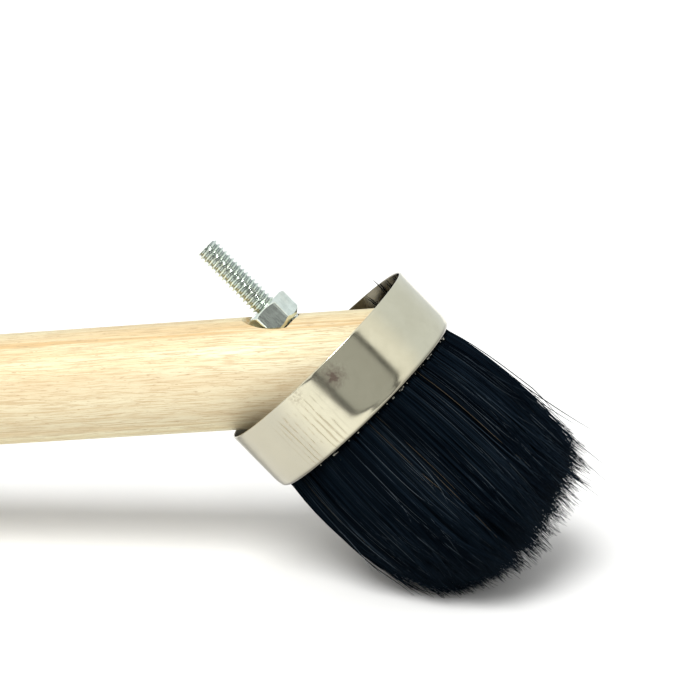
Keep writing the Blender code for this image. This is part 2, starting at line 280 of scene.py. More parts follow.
# Linear red, green and blue
BIRCH_PALE = (0.735, 0.69, 0.475)
BIRCH_STREAK = (0.665, 0.58, 0.365)
BIRCH_TAN = (0.63, 0.465, 0.255)
BIRCH_SHADE = (0.55, 0.465, 0.315)
BIRCH_RING = (0.56, 0.36, 0.16)
BIRCH_GRAIN = (0.46, 0.34, 0.19)
BIRCH_PORE = (0.31, 0.19, 0.095)
PLUG_PALE = (0.46, 0.33, 0.20)
PLUG_DARK = (0.24, 0.15, 0.08)
STEEL_PALE = (0.70, 0.665, 0.51)
STEEL_HAZE = (0.655, 0.62, 0.47)
STEEL_SHADED_REFLECTION = (0.44, 0.42, 0.35)
STEEL_LENS_REFLECTION = (0.22, 0.13, 0.11)
STEEL_SMUDGE = (0.36, 0.31, 0.22)
STEEL_SCRATCH = (0.38, 0.32, 0.205)
STEEL_INSIDE = (0.15, 0.135, 0.105)
ZINC_BRIGHT = (0.84, 0.91, 0.83)
ZINC_DULL = (0.70, 0.77, 0.70)
ZINC_STRAW = (0.80, 0.79, 0.66)
ZINC_ROOT_SHADE = (0.22, 0.25, 0.24)
RESIN_BROWN = (0.16, 0.105, 0.055)
RESIN_STAINED = (0.05, 0.035, 0.025)
FLECK_PALE = (0.34, 0.33, 0.27)
FLECK_DARK = (0.07, 0.07, 0.06)
FLOOR_DIM = (0.885, 0.885, 0.875)
FLOOR_BRIGHT = (0.90, 0.90, 0.89)
HAIR_GLOSS = (0.55, 0.8, 1.0, 1.0)
HAIR_COLOURS = {  # the dark and the light end of each tone
    "black": ((0.0010, 0.0024, 0.0048), (0.0016, 0.0036, 0.0068)),
    "navy": ((0.002, 0.005, 0.009), (0.006, 0.011, 0.018)),
    # slate and pale are partly painted highlight: their lighter hairs stand in for highlight streaks
    "slate": ((0.004, 0.008, 0.013), (0.017, 0.026, 0.036)),
    "pale": ((0.012, 0.018, 0.024), (0.085, 0.105, 0.12)),
    "tan": ((0.05, 0.04, 0.025), (0.14, 0.11, 0.07)),
}

# Where the grain, scratches, smudge, painted shade and painted reflections are: windows are a low end, a high end
# and a softness
GRAIN_BEND = 4.0 * MM
# painted shade on the handle's lower side
SHADED_SIDE = (-7 * MM, 3 * MM, 6 * MM)
TOP_RING = (12.7 * MM, 13.5 * MM, 0.4 * MM)
SCRATCH_SPACING = 0.052  # radians round the ferrule
SCRATCHED_ANGLES = (math.radians(-112), math.radians(-92), math.radians(7))
SCRATCHED_HEIGHTS = (-16.0 * MM, -5.0 * MM, 3.0 * MM)
# painted reflection of the shadowed floor, darkening the steel round these angles
SHADED_REFLECTION_ANGLES = (math.radians(-165), math.radians(-112), math.radians(18))
# painted reflection of the camera's lens, a brown spot on the ferrule's front
LENS_REFLECTION_PLACE = (-75.5, -4.2)  # degrees round from the head's top and height in millimetres
SMUDGE_PLACE = (-95, -1.4)
# painted shade: the ferrule's lip shadows the hair below it over this length
HAIR_SHADE = 12 * MM  # length over which hair is darker below the ferrule


def birch_material():
    """Pale sanded birch: fine wavy grain, tan streaks and short dark pores, with painted shade browning its lower
    side.
    """
    n = new_material("birch")
    space = n.space(HANDLE)
    bend = n.noise(n.scaled(space, 22, 22, 14), 1.0, 2.0, 0.5)
    sideways = n.math("MULTIPLY", n.math("SUBTRACT", bend, 0.5), GRAIN_BEND)
    shift = n.add("CombineXYZ", {0: sideways}).outputs[0]
    wavy = n.add("VectorMath", {0: space, 1: shift}).outputs[0]
    height = n.add("SeparateXYZ", {0: wavy}).outputs["X"]
    fine = n.noise(n.scaled(wavy, 3200, 3200, 120), 1.0, 4.0, 0.7)
    streak = n.noise(n.scaled(wavy, 700, 700, 16), 1.0, 4.0, 0.65)
    broad = n.noise(n.scaled(space, 80, 80, 6), 1.0, 3.0, 0.5)
    pores = n.noise(n.scaled(wavy, 3400, 3400, 420), 1.0, 2.0, 0.55)
    tint = n.mix(n.span(streak, 0.40, 0.60), BIRCH_PALE, BIRCH_STREAK)
    tint = n.mix(n.span(broad, 0.48, 0.66, 0.0, 0.75), tint, BIRCH_TAN)
    # painted shade: a band along the handle's lower side is drawn browner, standing for light that falls from
    # above
    painted_side_shade = n.product(n.window(height, *SHADED_SIDE), 0.6)
    tint = n.mix(painted_side_shade, tint, BIRCH_SHADE)
    ring = n.product(n.window(height, *TOP_RING), n.span(streak, 0.40, 0.56), 0.7)
    tint = n.mix(ring, tint, BIRCH_RING)
    tint = n.mix(n.span(fine, 0.45, 0.62, 0.0, 0.8), tint, BIRCH_GRAIN)
    tint = n.mix(n.span(pores, 0.62, 0.72, 0.0, 0.6), tint, BIRCH_PORE)
    n.set(Base_Color=tint, Roughness=n.span(streak, 0.3, 0.7, 0.52, 0.64), Specular_IOR_Level=0.3)
    n.bump(fine, 0.3, 0.05 * MM)
    return n.owner


def plug_wood_material():
    """Raw softwood, darker and coarser than the handle."""
    n = new_material("plug_wood")
    grain = n.noise(n.scaled(n.space(HEAD), 40, 600, 40), 1.0, 5.0, 0.6)
    tint = n.mix(n.span(grain, 0.35, 0.7), PLUG_PALE, PLUG_DARK)
    n.set(Base_Color=tint, Roughness=n.span(grain, 0.3, 0.7, 0.66, 0.8))
    n.bump(grain, 0.5, 0.2 * MM)
    return n.owner


def scratch_share(n, space, angle, height):
    """Where the short scratches are that run along the head's axis, side by side on the lower front."""
    wobble = n.noise(n.scaled(space, 260, 260, 40), 1.0, 4.0, 0.7)
    place = n.math("ADD", n.math("DIVIDE", angle, SCRATCH_SPACING), n.math("MULTIPLY", wobble, 1.3))
    off_line = n.math("ABSOLUTE", n.math("SUBTRACT", n.math("FRACT", place), 0.5))
    line = n.span(off_line, 0.04, 0.24, 1.0, 0.0)
    gaps = n.span(n.noise(n.scaled(space, 420, 420, 130), 1.0, 4.0, 0.7), 0.38, 0.56)
    around = n.window(angle, *SCRATCHED_ANGLES)
    along = n.window(height, *SCRATCHED_HEIGHTS)
    return n.product(line, gaps, around, along)


def on_ferrule(degrees, height):
    """A point on the ferrule's outside at an angle from the head frame's +X and a height in millimetres."""
    angle = math.radians(degrees)
    return (FERRULE_RADIUS * math.cos(angle), FERRULE_RADIUS * math.sin(angle), height * MM)


def steel_material():
    """Thin polished sheet with scratches, a smudge and a film of resin inside, plus a painted reflection of the
    shadowed floor darkening its lower left and a brown painted reflection of the camera's lens on its front.
    """
    n = new_material("stainless")
    space = n.space(HEAD)
    parts = n.add("SeparateXYZ", {0: space}).outputs
    angle = n.math("ARCTAN2", parts["Y"], parts["X"])
    scratches = scratch_share(n, space, angle, parts["Z"])
    haze = n.noise(space, 160.0, 4.0, 0.6)
    specks = n.noise(space, 1100.0, 3.0, 0.6)
    uneven = n.math("MULTIPLY", n.math("SUBTRACT", specks, 0.5), 5 * MM)
    # painted reflection: a brown spot where the ferrule mirrors the camera's lens
    from_lens_reflection = n.math("ADD", n.distance(space, on_ferrule(*LENS_REFLECTION_PLACE)), uneven)
    lens_reflection_middle = n.span(from_lens_reflection, 0.2 * MM, 1.8 * MM, 0.42, 0.0)
    lens_reflection = n.math("ADD", lens_reflection_middle, n.span(from_lens_reflection, 0.8 * MM, 4.2 * MM, 0.36, 0.0))
    smudge = n.span(n.distance(space, on_ferrule(*SMUDGE_PLACE)), 0.5 * MM, 2.8 * MM, 1.0, 0.0)
    smudge = n.product(smudge, n.span(specks, 0.42, 0.60, 0.0, 0.55))
    # painted reflection: a band round the ferrule's lower left is darkened to stand for the shadowed floor it
    # mirrors there
    shaded_reflection = n.product(n.window(angle, *SHADED_REFLECTION_ANGLES), 0.75)
    in_sheet = n.math("SUBTRACT", n.from_axis(parts), FERRULE_RADIUS)
    inside = n.span(in_sheet, -0.8 * FERRULE_SHEET, -0.4 * FERRULE_SHEET, 0.85, 0.0)
    tint = n.mix(n.span(haze, 0.3, 0.7), STEEL_PALE, STEEL_HAZE)
    tint = n.mix(shaded_reflection, tint, STEEL_SHADED_REFLECTION)
    tint = n.mix(lens_reflection, tint, STEEL_LENS_REFLECTION)
    tint = n.mix(smudge, tint, STEEL_SMUDGE)
    tint = n.mix(n.math("MULTIPLY", scratches, 0.6), tint, STEEL_SCRATCH)
    tint = n.mix(inside, tint, STEEL_INSIDE)
    rough = n.math("ADD", n.span(haze, 0.3, 0.7, 0.12, 0.17), n.math("MULTIPLY", scratches, 0.2))
    n.set(Base_Color=tint, Metallic=1.0, Roughness=rough)
    n.bump(specks, 0.12, 0.02 * MM)
    return n.owner


def zinc_material():
    """Bright zinc plate over machined steel, faintly mottled blue-green and straw, with painted shade in the
    thread's roots.
    """
    n = new_material("zinc")
    space = n.space(BOLT)
    mottle = n.noise(space, 420.0, 4.0, 0.6)
    cast = n.noise(space, 150.0, 2.0, 0.5)
    drawn = n.noise(n.scaled(space, 1500, 1500, 260), 1.0, 3.0, 0.6)
    radius = n.from_axis(n.add("SeparateXYZ", {0: space}).outputs)
    # painted shade: the thread's roots are drawn darker, where shade falls between the crests
    root = n.span(radius, THREAD_RADIUS - THREAD_DEPTH, THREAD_RADIUS - 0.2 * MM, 0.6, 0.0)
    tint = n.mix(n.span(mottle, 0.35, 0.65), ZINC_BRIGHT, ZINC_DULL)
    tint = n.mix(n.span(cast, 0.5, 0.75, 0.0, 0.5), tint, ZINC_STRAW)
    tint = n.mix(root, tint, ZINC_ROOT_SHADE)
    n.set(Base_Color=tint, Metallic=1.0, Roughness=n.span(mottle, 0.3, 0.7, 0.13, 0.22))
    n.bump(drawn, 0.6, 0.06 * MM)
    return n.owner


def resin_material():
    """Cast resin stained by the hair set in it."""
    n = new_material("resin")
    stain = n.noise(n.space(HEAD), 160.0, 4.0, 0.6)
    tint = n.mix(n.span(stain, 0.35, 0.7), RESIN_BROWN, RESIN_STAINED)
    n.set(Base_Color=tint, Roughness=n.span(stain, 0.3, 0.7, 0.25, 0.45))
    n.bump(stain, 0.4, 0.3 * MM)
    return n.owner


def fleck_material():
    """Pale crumbs of resin squeezed out along the ferrule's lower edge."""
    n = new_material("resin_fleck")
    speck = n.noise(n.space(HEAD), 900.0, 2.0, 0.6)
    tint = n.mix(n.span(speck, 0.35, 0.65), FLECK_PALE, FLECK_DARK)
    n.set(Base_Color=tint, Roughness=0.5)
    return n.owner


def hair_material(name, dark, light):
    """Dyed hair whose tone changes slowly along it, with painted shade making it darkest where it leaves the
    ferrule.
    """
    n = new_material(name)
    space = n.space(HEAD)
    height = n.add("SeparateXYZ", {0: space}).outputs["Z"]
    shine = n.noise(n.scaled(space, 45, 45, 30), 1.0, 2.0, 0.5)
    # painted shade where the ferrule's lip shadows the hair's roots
    root = n.span(height, -FERRULE_HEIGHT - HAIR_SHADE, -FERRULE_HEIGHT, 1.0, 0.1)
    n.set(Base_Color=n.mix(n.product(n.span(shine, 0.30, 0.70), root), dark, light))
    n.set(Roughness=0.34, Specular_IOR_Level=0.05, Specular_Tint=HAIR_GLOSS)
    return n.owner


def floor_material():
    """Plain matt white sheet."""
    n = new_material("floor")
    fibre = n.noise(n.add("TexCoord").outputs["Object"], 40.0, 3.0, 0.5)
    tint = n.mix(n.span(fibre, 0.3, 0.7), FLOOR_DIM, FLOOR_BRIGHT)
    n.set(Base_Color=tint, Roughness=0.9, Specular_IOR_Level=0.1)
    return n.owner


# Mesh helpers


def add_piece(name, mesh, body, look, place=HEAD):
    """Moves a mesh from its own frame into the model's and links it as a piece that rides on a CAD body."""
    mesh.transform(place)
    mesh.materials.clear()
    mesh.materials.append(look)
    piece = bpy.data.objects.new(name, mesh)
    bpy.context.scene.collection.objects.link(piece)
    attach(piece, body)
    return piece


def shade(mesh):
    """Smooth shading that keeps the hard edges."""
    mesh.shade_smooth()
    mesh.set_sharp_from_angle(angle=SHARP_ANGLE)


def grid_mesh(name, columns, wrap_rows, weld=0.0):
    """A closed skin over columns of points set around an axis. With wrap_rows each column is a ring too."""
    points = np.asarray(columns)
    count, rows = points.shape[:2]
    number = np.arange(count * rows).reshape(count, rows)
    beside = np.roll(number, -1, axis=0)
    if wrap_rows:
        quads = np.stack([number, beside, np.roll(beside, -1, axis=1), np.roll(number, -1, axis=1)], axis=2)
    else:
        quads = np.stack([number[:, :-1], beside[:, :-1], beside[:, 1:], number[:, 1:]], axis=2)
    mesh = bpy.data.meshes.new(name)
    mesh.from_pydata(points.reshape(-1, 3).tolist(), [], quads.reshape(-1, 4).tolist())
    if weld:
        shape = bmesh.new()
        shape.from_mesh(mesh)
        bmesh.ops.remove_doubles(shape, verts=shape.verts, dist=weld)
        bmesh.ops.dissolve_degenerate(shape, edges=shape.edges, dist=weld)
        shape.to_mesh(mesh)
        shape.free()
    shade(mesh)
    return mesh


def join_into(mesh, other):
    """Adds another mesh's faces to a mesh."""
    shape = bmesh.new()
    shape.from_mesh(mesh)
    shape.from_mesh(other)
    shape.to_mesh(mesh)
    shape.free()
    bpy.data.meshes.remove(other)
    shade(mesh)


def turned_columns(outline, steps):
    """Columns of points that turn an outline of (radius, height) about local Z."""
    outline = np.array(outline)
    angles = np.arange(steps) * 2 * math.pi / steps
    columns = np.zeros((steps, len(outline), 3))
    columns[:, :, 0] = np.cos(angles)[:, None] * outline[None, :, 0]
    columns[:, :, 1] = np.sin(angles)[:, None] * outline[None, :, 0]
    columns[:, :, 2] = outline[None, :, 1]
    return columns


def arc(centre_radius, centre_height, size, start, end, count):
    """Points on a round corner, from one angle to another, in degrees."""
    angles = np.radians(np.linspace(start, end, count + 1))
    return [(centre_radius + size * math.cos(a), centre_height + size * math.sin(a)) for a in angles]


def straight(start, end, count):
    """Points between two (radius, height) points, without the ends."""
    shares = np.arange(1, count) / count
    return [(start[0] + (end[0] - start[0]) * s, start[1] + (end[1] - start[1]) * s) for s in shares]


# Ferrule and resin

BEND_IN = 0.24 * MM
BEND_LENGTH = 2.2 * MM
ROLLED_WAVE = 0.0012  # share of the radius
FLECKS = 34
FLECK_GROUPS = (-11, -30, -50, -58, -104, -72, 40, 150)  # degrees round from the head's top
FLECK_LUMP = 0.3 * MM


def ferrule_outline():
    """The sheet band with its rounded rim and curled lower edge, turned outside first.

    The sheet already bends in a little over its last few millimetres before the curl.
    """
    half = FERRULE_SHEET / 2
    curl_radius, curl_height = FERRULE_RADIUS - CURL_RADIUS - BEND_IN, -FERRULE_HEIGHT + CURL_RADIUS
    rim = arc(FERRULE_RADIUS - half, -half, half, 180, 0, 8)
    outside = []
    for height in np.linspace(-half, curl_height, 25)[1:-1]:
        bend = max(0.0, 1.0 - (height - curl_height) / BEND_LENGTH)
        outside.append((FERRULE_RADIUS - BEND_IN * bend**2, height))
    curl = arc(curl_radius, curl_height, CURL_RADIUS, 0, -90, 9)
    lip = arc(curl_radius - CURL_LIP, -FERRULE_HEIGHT + half, half, -90, -270, 6)
    inner_curl = arc(curl_radius, curl_height, CURL_RADIUS - FERRULE_SHEET, -90, 0, 6)
    return rim + outside + curl + lip + inner_curl


def add_ferrule(look):
    """The band, with the slight unevenness that thin sheet keeps after rolling."""
    columns = turned_columns(ferrule_outline(), 360)
    for column in columns:
        for point in column:
            place = Vector(point)
            wave = noise.noise(place * 55.0) + 0.4 * noise.noise(place * 140.0)
            point[:2] *= 1.0 + ROLLED_WAVE * wave * min(1.0, -place.z / (3 * MM))
    mesh = grid_mesh("ferrule_band", columns[:, ::-1], wrap_rows=True)
    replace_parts(add_piece("ferrule_band", mesh, "head", look), "ferrule")


def add_resin(look):
    """The resin ring, its face dished and lumpy."""
    outer = FERRULE_RADIUS - FERRULE_SHEET - GAP
    inner = CORE_RADIUS + GAP
    outer_edge = (outer, RESIN_TOP)
    dish = ((inner + outer) / 2, RESIN_TOP - RESIN_DISH)
    inner_edge = (inner, RESIN_TOP - RESIN_INNER_DROP)
    face = [outer_edge, *straight(outer_edge, dish, 8), dish, *straight(dish, inner_edge, 8), inner_edge]
    columns = turned_columns(face + [(inner, RESIN_BOTTOM), (outer, RESIN_BOTTOM)], 240)
    for column in columns:
        for point in column[1 : len(face) - 1]:
            point[2] -= RESIN_LUMP * abs(noise.noise(Vector(point) * 260.0))
    mesh = grid_mesh("resin_ring", columns, wrap_rows=True)
    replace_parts(add_piece("resin_ring", mesh, "head", look), "setting_resin")


def add_flecks(look):
    """Crumbs of resin stuck to the hairs' roots just below the ferrule's lip, in loose groups."""
    random = np.random.default_rng(5)
    shape = bmesh.new()
    for number in range(FLECKS):
        group = FLECK_GROUPS[number % len(FLECK_GROUPS)]
        angle = math.radians(group + random.normal(0.0, 6.0))
        size = random.uniform(0.06, 0.18) * MM
        radius = FERRULE_RADIUS - CURL_RADIUS - random.uniform(-0.2, 0.45) * MM
        height = -FERRULE_HEIGHT - size * random.uniform(0.2, 2.4)
        place = Vector((radius * math.cos(angle), radius * math.sin(angle), height))
        turn = Matrix.Rotation(angle, 4, "Z")
        stretch = Matrix.Diagonal((0.8, random.uniform(1.0, 4.0), random.uniform(0.7, 1.8), 1.0))
        matrix = Matrix.Translation(place) @ turn @ stretch
        made = bmesh.ops.create_icosphere(shape, subdivisions=2, radius=size, matrix=matrix)
        for point in made["verts"]:
            lump = 1.0 + 0.45 * noise.noise(point.co / FLECK_LUMP)
            point.co = place + (point.co - place) * lump
    mesh = bpy.data.meshes.new("resin_flecks")
    shape.to_mesh(mesh)
    shape.free()
    mesh.shade_smooth()
    add_piece("resin_flecks", mesh, "head", look)


# Bolt, nut and lock washer

HEX_SHARES = (-30, -28.5, -27, -25, -21, -15, -8, 0, 8, 15, 21, 25, 27, 28.5)  # degrees from a flat's middle
NUT_CLEARANCE = 0.07 * MM
NUT_MOUTH = 3.5 * MM
NUT_MOUTH_DEPTH = 0.35 * MM
LOCK_WASHER_SOFT = 0.2 * MM


def thread_rise(height, angle):
    """0 in the thread's root and 1 on its crest, for a right-hand thread."""
    share = (height - THREAD_START) / THREAD_PITCH - angle / (2 * math.pi)
    across = np.abs((share - THREAD_CREST + 0.5) % 1.0 - 0.5)
    return np.clip((THREAD_FOOT - across) / THREAD_FLANK, 0.0, 1.0)


def bolt_columns(sides, rows_per_pitch):
    """The bolt's shank with a run-out, a thread and a chamfered tip."""
    foot = BOLT_SEAT - HEAD_HEIGHT / 2
    count = round((BOLT_TIP - THREAD_START) / THREAD_PITCH * rows_per_pitch)
    rows = np.linspace(THREAD_START - THREAD_PITCH, BOLT_TIP, count)
    heights = np.concatenate([[foot, foot], rows, [BOLT_TIP]])
    grown = np.clip((heights - THREAD_START) / THREAD_PITCH, 0.0, 1.0)
    root = THREAD_RADIUS - THREAD_DEPTH
    columns = np.zeros((sides, len(heights), 3))
    for side in range(sides):
        angle = 2 * math.pi * side / sides
        threaded = root + THREAD_DEPTH * thread_rise(heights, angle)
        radius = SHANK_RADIUS + (threaded - SHANK_RADIUS) * grown
        radius = np.minimum(radius, BOLT_END_RADIUS + BOLT_TIP - heights)
        radius[0] = radius[-1] = 0.0
        columns[side] = np.stack([radius * math.cos(angle), radius * math.sin(angle), heights], axis=1)
    return columns


def hex_radius(angle):
    """Distance from a hexagon's middle to its side, with its corners a little rounded by wear."""
    flat = HEX_ACROSS_FLATS / 2
    off = abs((angle + math.pi / 6) % (math.pi / 3) - math.pi / 6)
    return min(flat / math.cos(off), HEX_CORNER * flat / math.cos(math.pi / 6))


def hex_angles():
    """Column angles, closest together at the corners, with a flat facing angle 0."""
    return [math.radians(60 * side + share) for side in range(6) for share in HEX_SHARES]


def hex_columns(low, high, inside):
    """Columns of a hexagon chamfered at top and foot; inside gives each column's inner points, upwards."""
    top_face = TOP_FACE * HEX_ACROSS_FLATS / 2
    foot_face = FOOT_FACE * HEX_ACROSS_FLATS / 2
    soft = HEX_SOFT
    columns = []
    for angle in hex_angles():
        wide = hex_radius(angle)
        top_drop = (wide - top_face) * math.tan(TOP_CHAMFER)
        foot_rise = (wide - foot_face) * math.tan(FOOT_CHAMFER)
        outline = [
            (top_face - soft, high),
            (top_face, high - 0.2 * soft),
            (wide - soft, high - top_drop + 0.5 * soft),
            (wide, high - top_drop - soft),
            (wide, low + foot_rise + soft),
            (wide - soft, low + foot_rise - 0.5 * soft),
            (foot_face, low + 0.2 * soft),
            (foot_face - soft, low),
        ]
        turned_angle = angle + HEX_TURN
        outline += inside(turned_angle)
        columns.append([(r * math.cos(turned_angle), r * math.sin(turned_angle), h) for r, h in outline])
    return columns


def nut_bore(low, high):
    """The inner points of the nut's columns: its thread, cut clear of the bolt's, and countersunk mouths."""
    heights = np.linspace(low + NUT_MOUTH_DEPTH, high - NUT_MOUTH_DEPTH, 56)

    def inside(angle):
        radius = THREAD_RADIUS - THREAD_DEPTH + NUT_CLEARANCE + THREAD_DEPTH * thread_rise(heights, angle)
        return [(NUT_MOUTH, low), *zip(radius, heights), (NUT_MOUTH, high)]

    return inside


def add_bolt(look):
    """The threaded shank and its hex head, as one piece."""
    shank = grid_mesh("bolt_shank", bolt_columns(72, 12), wrap_rows=False, weld=WELD)
    foot = BOLT_SEAT - HEAD_HEIGHT
    sides = hex_columns(foot, BOLT_SEAT, lambda angle: [(0.0, foot)])
    columns = np.array([[(0.0, 0.0, BOLT_SEAT)] + side for side in sides])
    head = grid_mesh("bolt_head", columns[:, ::-1], wrap_rows=False, weld=WELD)
    join_into(shank, head)
    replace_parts(add_piece("threaded_bolt", shank, "head", look, BOLT), "bolt")


def add_nut(look):
    """The nut on the pocket's floor."""
    low = POCKET_FLOOR + GAP
    high = low + NUT_HEIGHT
    columns = np.array(hex_columns(low, high, nut_bore(low, high)))
    mesh = grid_mesh("nut", columns[:, ::-1], wrap_rows=True)
    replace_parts(add_piece("threaded_nut", mesh, "nut", look, BOLT), "hex_nut")


def add_lock_washer(look):
    """A spring washer pressed flat, with rounded edges and a slanted split towards the head's low side."""
    low = WASHER_SEAT + GAP
    high = low + LOCK_WASHER_THICKNESS
    soft = LOCK_WASHER_SOFT
    outline = arc(LOCK_WASHER_RADIUS - soft, high - soft, soft, 90, 0, 4)
    outline += arc(LOCK_WASHER_RADIUS - soft, low + soft, soft, 0, -90, 4)
    outline += arc(LOCK_WASHER_BORE + soft, low + soft, soft, -90, -180, 4)
    outline += arc(LOCK_WASHER_BORE + soft, high - soft, soft, 180, 90, 4)
    steps = 120
    mesh = bpy.data.meshes.new("spring_washer")
    shape = bmesh.new()
    rings = []
    for step in range(steps + 1):
        share = 2 * step / steps - 1
        ring = []
        for radius, height in outline:
            half_gap = LOCK_WASHER_SPLIT / 2 / radius
            slant = (height - (low + high) / 2) * math.tan(LOCK_WASHER_SLANT) / radius
            near_split = abs(share) ** 9
            angle = share * (math.pi - half_gap) + slant * near_split
            ring.append(shape.verts.new((radius * math.cos(angle), radius * math.sin(angle), height)))
        rings.append(ring)
    for here, there in zip(rings, rings[1:]):
        for i in range(len(outline)):
            j = (i + 1) % len(outline)
            shape.faces.new((here[i], here[j], there[j], there[i]))
    shape.faces.new(rings[0][::-1])
    shape.faces.new(rings[-1])
    bmesh.ops.recalc_face_normals(shape, faces=shape.faces)
    shape.to_mesh(mesh)
    shape.free()
    shade(mesh)
    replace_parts(add_piece("spring_washer", mesh, "lock_washer", look, BOLT), "lock_washer")


# Handle


def cut(piece, outline, place, steps):
    """Cuts a shape turned about a frame's local Z out of a piece."""
    mesh = grid_mesh("cutter", turned_columns(outline, steps), wrap_rows=False, weld=WELD)
    mesh.transform(place)
    cutter = bpy.data.objects.new("cutter", mesh)
    bpy.context.scene.collection.objects.link(cutter)
    step = piece.modifiers.new("Cut", "BOOLEAN")
    step.operation = "DIFFERENCE"
    step.solver = "EXACT"
    step.object = cutter
    bpy.context.view_layer.update()
    seen = piece.evaluated_get(bpy.context.evaluated_depsgraph_get())
    done = bpy.data.meshes.new_from_object(seen)
    piece.modifiers.clear()
    piece.data = done
    bpy.data.objects.remove(cutter, do_unlink=True)


def add_handle(look):
    """The turned handle with its slanted end, the bolt's hole, the nut's pocket and the washer's seat."""
    end = HANDLE_LENGTH
    outline = [(0.0, -HANDLE_BLANK), (HANDLE_RADIUS, -HANDLE_BLANK)]
    outline += straight((HANDLE_RADIUS, -HANDLE_BLANK), (HANDLE_RADIUS, end - HANDLE_END_ROUND), 24)
    outline += arc(HANDLE_RADIUS - HANDLE_END_ROUND, end - HANDLE_END_ROUND, HANDLE_END_ROUND, 0, 90, 12)
    outline += [(0.0, end)]
    mesh = grid_mesh("turned_handle", turned_columns(outline, 160), wrap_rows=False, weld=WELD)
    handle = add_piece("turned_handle", mesh, "handle", look, HANDLE)
    slant = CORE_TOP + GAP
    beyond_slant = [(0.0, -CUTTER_REACH), (CUTTER_REACH, -CUTTER_REACH), (CUTTER_REACH, slant), (0.0, slant)]
    cut(handle, beyond_slant, HEAD, 64)
    bore = [
        (0.0, CORE_TOP - GAP),
        (BOLT_HOLE_RADIUS, CORE_TOP - GAP),
        (BOLT_HOLE_RADIUS, WASHER_SEAT),
        (WASHER_SEAT_RADIUS, WASHER_SEAT),
        (WASHER_SEAT_RADIUS, POCKET_FLOOR),
        (POCKET_RADIUS, POCKET_FLOOR),
        (POCKET_RADIUS, CUTTER_REACH),
        (0.0, CUTTER_REACH),
    ]
    cut(handle, bore, BOLT, 96)
    shade(handle.data)
    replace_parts(handle, "handle")


# Bristles

TUFTS = 1700
HAIRS_IN_TUFT = 7
HAIR_RADIUS = 0.12 * MM
HAIR_POINTS = 12
# the lighter tones are partly painted highlight: light hairs stand in for highlight streaks
HAIR_TONES = ("black",) * 7 + ("navy",) * 4 + ("slate",)  # one object of hairs for each
HAIR_ROOT = -RESIN_BOTTOM + 0.35 * MM
HAIR_WAVE = 0.09 * MM
HAIR_WANDER = 0.6 * MM
HAIR_LEAN = 0.35 * MM
TABLE_GAP = 0.02 * MM
TUFT_SPREAD = 1.25
TUFT_LEAN = 1.3 * MM
TUFT_LENGTHS = (2.2 * MM, 6.5 * MM, 2.6 * MM)  # mean and most of what is added, and what is taken off
TUFT_CLOSE, CLOSING_START = 0.92, 0.74  # how far tips close on their tuft, and where along the hair it begins
SHORTER_HAIRS = 2.0 * MM
LONGER_TIPS = 0.7 * MM
LOWER_SIDE_RADIUS = 17 * MM
TIP_CLEARANCE = 0.6 * MM
TAN_HAIRS = 16
FINE_HAIRS = 260
FINE_LEAN = 1.2 * MM
FINE_SHORTER = 26 * MM

# Stray hairs: degrees round from the head's top, the tip's depth below the rim and its lean outwards, in mm
STRAYS = (
    (-14, 47, 6.2),
    (-3, 58, 4.2),
    (-20, 62, 6.6),
    (8, 63, 5.2),
    (-26, 68, 4.6),
    (-6, 70, 3.0),
    (-12, 73, 2.2),
    (-32, 73, 3.4),
    (178, 37, 3.0),
    (171, 38, 2.2),
    (184, 45, 3.6),
    (190, 52, 3.0),
    (168, 52, 3.6),
    (95, 60, 1.2),
    (130, 66, 1.6),
    (50, 55, 2.4),
)

# Hairs on the ferrule's inner wall: degrees round, the tip's height above the rim in mm, degrees of lean
WALL_HAIRS = (
    (31.5, -0.2, -1.5),
    (42.0, -0.4, -4.0),
    (49.2, 1.9, -2.5),
    (62.8, -0.5, 1.0),
    (118.0, -2.0, 3.0),
)


def to_world(lines):
    """Points of lines in the head frame, moved into the model's frame."""
    return lines @ np.array(HEAD.to_3x3()).T + np.array(HEAD.translation)


def tube_mesh(name, lines, radii, sides=3):
    """Closed tubes along many lines at once. Lines is hairs x points x 3, and radii is hairs x points."""
    hairs, count = radii.shape
    along = np.gradient(lines, axis=1)
    along /= np.linalg.norm(along, axis=2, keepdims=True)
    first = np.cross(along, (0.0, 1.0, 0.0))
    first /= np.linalg.norm(first, axis=2, keepdims=True)
    second = np.cross(along, first)
    angles = np.arange(sides) * 2 * math.pi / sides
    around = first[:, :, None] * np.cos(angles)[:, None] + second[:, :, None] * np.sin(angles)[:, None]
    points = lines[:, :, None] + radii[:, :, None, None] * around
    number = np.arange(hairs * count * sides).reshape(hairs, count, sides)
    here, there = number[:, :-1], number[:, 1:]
    quads = np.stack([here, np.roll(here, -1, 2), np.roll(there, -1, 2), there], axis=3).reshape(-1, 4)
    ends = np.concatenate([number[:, 0, ::-1], number[:, -1]])
    mesh = bpy.data.meshes.new(name)
    mesh.vertices.add(points.size // 3)
    mesh.vertices.foreach_set("co", points.astype(np.float32).ravel())
    corners = np.concatenate([quads.ravel(), ends.ravel()])
    sizes = np.concatenate([np.full(len(quads), 4), np.full(len(ends), sides)])
    mesh.loops.add(len(corners))
    mesh.loops.foreach_set("vertex_index", corners.astype(np.int32))
    mesh.polygons.add(len(sizes))
    mesh.polygons.foreach_set("loop_start", (np.cumsum(sizes) - sizes).astype(np.int32))
    mesh.update(calc_edges=True)
    mesh.shade_smooth()
    return mesh


